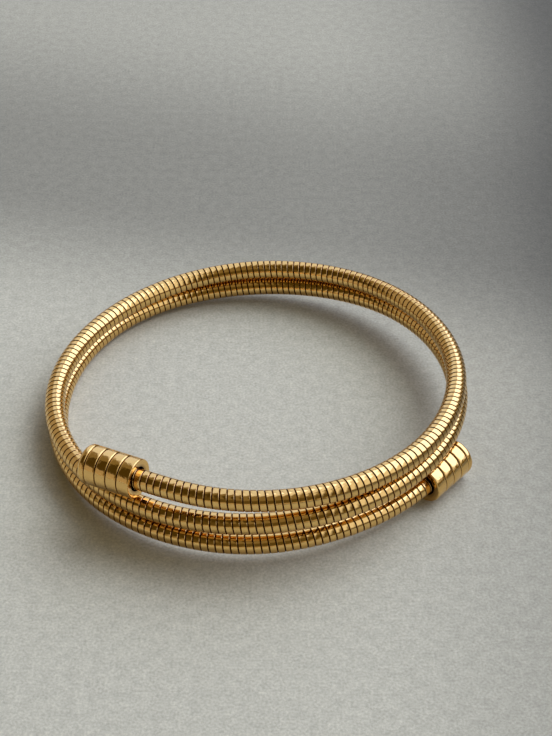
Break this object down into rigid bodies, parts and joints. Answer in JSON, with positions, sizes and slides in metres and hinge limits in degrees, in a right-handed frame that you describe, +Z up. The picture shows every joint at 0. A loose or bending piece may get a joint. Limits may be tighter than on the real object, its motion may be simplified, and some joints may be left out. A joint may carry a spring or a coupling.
{
  "type": "spiral coil bracelet",
  "caption": "Spiral coil bracelet: one ribbed strip-wound strand coiled round the wrist, with a grooved barrel cap on each end.",
  "frame": {"origin": "on the surface that the bracelet lies on, below the middle of its coil", "axes": "+Z up along the wrist's axis, -Y towards the front, where the strand overlaps and both caps lie"},
  "size_m": [0.0659, 0.066, 0.0139],
  "materials": {
    "strand_gold": "polished gold plate, with dark grooves between the ribs",
    "cap_gold": "polished gold plate with fine turning marks"
  },
  "bodies": {
    "root": {"coil_strand": "strand_gold", "upper_end_cap": "cap_gold", "lower_end_cap": "cap_gold"}
  },
  "joints": []
}
